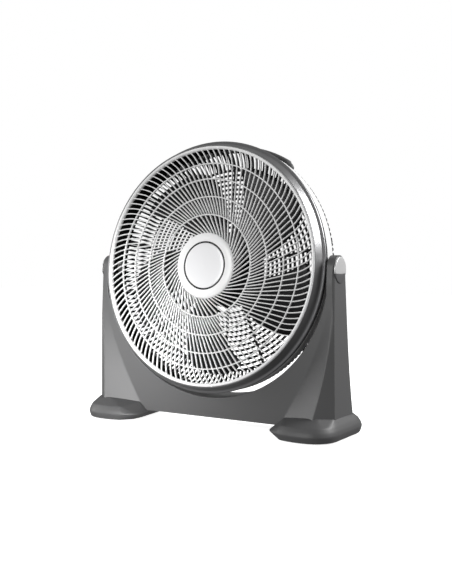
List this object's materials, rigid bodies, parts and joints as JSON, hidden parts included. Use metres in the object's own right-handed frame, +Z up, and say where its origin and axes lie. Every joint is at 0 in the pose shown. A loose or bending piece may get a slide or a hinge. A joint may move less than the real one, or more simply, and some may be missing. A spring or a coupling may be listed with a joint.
{
  "type": "floor fan",
  "caption": "Round-headed floor fan whose grilled head tilts on two side pivots in a wide U-shaped stand with moulded feet, with a carry handle and a rear speed knob.",
  "frame": {"origin": "on the floor, under the centre of the whole fan's bounding box", "axes": "+Z up; the front grille faces -Y; +X is to the right when facing the front grille, along the tilt axis"},
  "size_m": [0.61, 0.2269, 0.6052],
  "materials": {
    "stand_grey": "dark grey moulded plastic, satin",
    "grille_white": "white moulded plastic, semi-gloss",
    "guard_white": "white moulded plastic, satin",
    "silver": "silver metallic paint on plastic, satin",
    "badge_white": "plain white, gloss",
    "blade_grey": "dark grey moulded plastic, semi-gloss",
    "housing_white": "white moulded plastic, satin",
    "steel": "plain steel",
    "rubber": "black rubber, matte",
    "winding": "varnished laminations and copper winding",
    "switch_black": "black plastic, matte"
  },
  "bodies": {
    "stand": {"stand_shell": "stand_grey", "stand_rear_cover": "stand_grey", "foot_left": "stand_grey", "foot_right": "stand_grey", "pivot_bush_left": "switch_black", "pivot_bush_right": "switch_black", "friction_washer_left": "rubber", "friction_washer_right": "rubber", "pivot_cap_left": "silver", "pivot_cap_right": "silver", "pivot_cap_inlay_left": "stand_grey", "pivot_cap_inlay_right": "stand_grey", "cover_screw_1": "steel", "cover_screw_2": "steel", "cover_screw_3": "steel", "cover_screw_4": "steel", "foot_pad_left_front": "rubber", "foot_pad_left_rear": "rubber", "foot_pad_right_front": "rubber", "foot_pad_right_rear": "rubber"},
    "head": {"handle": "stand_grey", "grille_front": "grille_white", "hub_cap": "grille_white", "rear_guard": "guard_white", "trim_ring": "silver", "hub_badge": "badge_white", "motor_cover": "housing_white", "motor_screw_1": "steel", "motor_screw_2": "steel", "motor_screw_3": "steel", "motor_screw_4": "steel", "trim_screw_1": "steel", "trim_screw_2": "steel", "trim_screw_3": "steel", "trim_screw_4": "steel", "trim_screw_5": "steel", "trim_screw_6": "steel", "pivot_stud_left": "steel", "pivot_stud_right": "steel", "pivot_nut_left": "steel", "pivot_nut_right": "steel", "pivot_retainer_left": "steel", "pivot_retainer_right": "steel", "motor_plate": "steel", "bearing_front": "steel", "bearing_rear": "steel", "motor_stator": "winding", "run_capacitor": "switch_black", "speed_switch": "switch_black", "cord_gland": "switch_black"},
    "rotor": {"fan_blade": "blade_grey", "blade_nut": "blade_grey", "motor_shaft": "steel", "rotor_core": "steel"},
    "knob": {"speed_knob": "stand_grey"}
  },
  "joints": [
    {"name": "head_tilt", "type": "hinge", "parent": "stand", "child": "head", "pos_m": [0, -0.0224, 0.338], "axis": [-1, 0, 0], "range_deg": [-6, 84]},
    {"name": "rotor_spin", "type": "hinge", "parent": "head", "child": "rotor", "pos_m": [0, -0.0224, 0.338], "axis": [0, -0.9945, 0.1045], "continuous": true},
    {"name": "speed_turn", "type": "hinge", "parent": "head", "child": "knob", "pos_m": [0, 0.09836, 0.29112], "axis": [0, -0.9945, 0.1045], "range_deg": [0, 135]}
  ]
}
